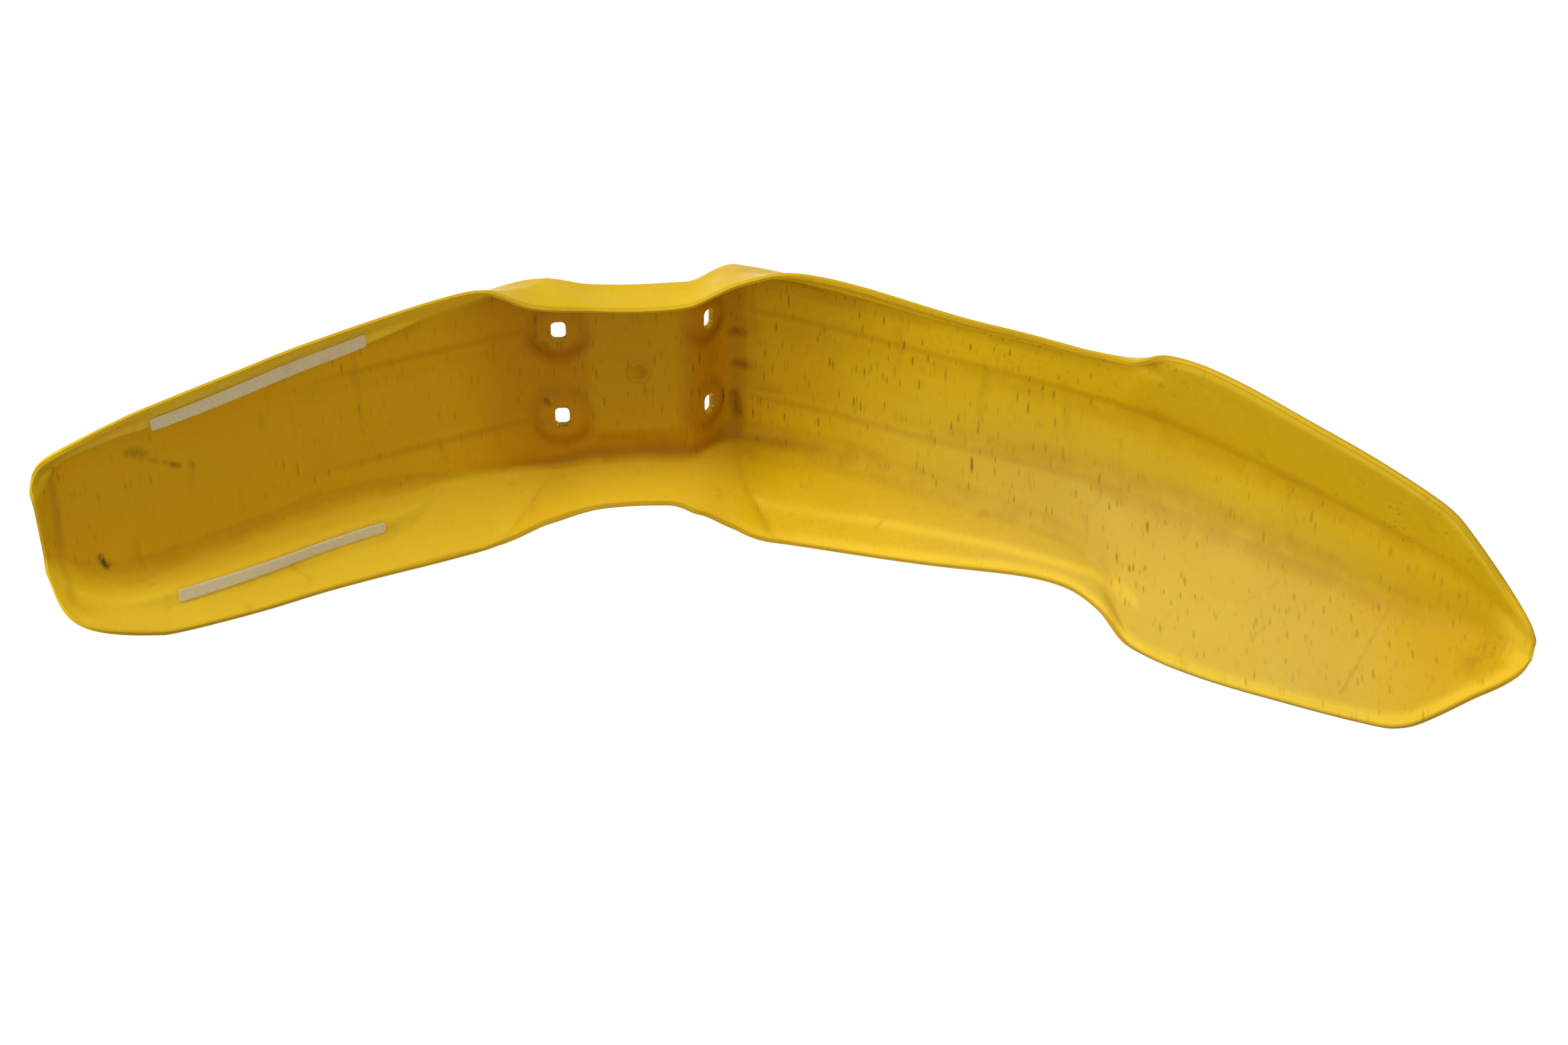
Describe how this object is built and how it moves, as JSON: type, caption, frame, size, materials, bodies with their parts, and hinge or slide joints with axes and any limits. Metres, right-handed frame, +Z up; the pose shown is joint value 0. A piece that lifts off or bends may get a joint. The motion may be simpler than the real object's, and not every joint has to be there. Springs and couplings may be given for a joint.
{
  "type": "motorcycle front mudguard",
  "caption": "High front mudguard for an off-road motorcycle: one moulded shell with a raised spine, a narrow waist that bolts under the fork clamp, a pointed nose and strips inside its tail.",
  "frame": {"origin": "midway between the two rear slots, on the plane of the raised seats that meet the fork clamp", "axes": "+X towards the tip, along the motorcycle's forward direction; +Y to the motorcycle's left; +Z up, square to the waist plate"},
  "size_m": [0.7772, 0.1972, 0.3442],
  "materials": {
    "shell_plastic": "satin",
    "strip_foam": "matte"
  },
  "bodies": {
    "root": {"mudguard": "shell_plastic", "left_strip": "strip_foam", "right_strip": "strip_foam"}
  },
  "joints": []
}
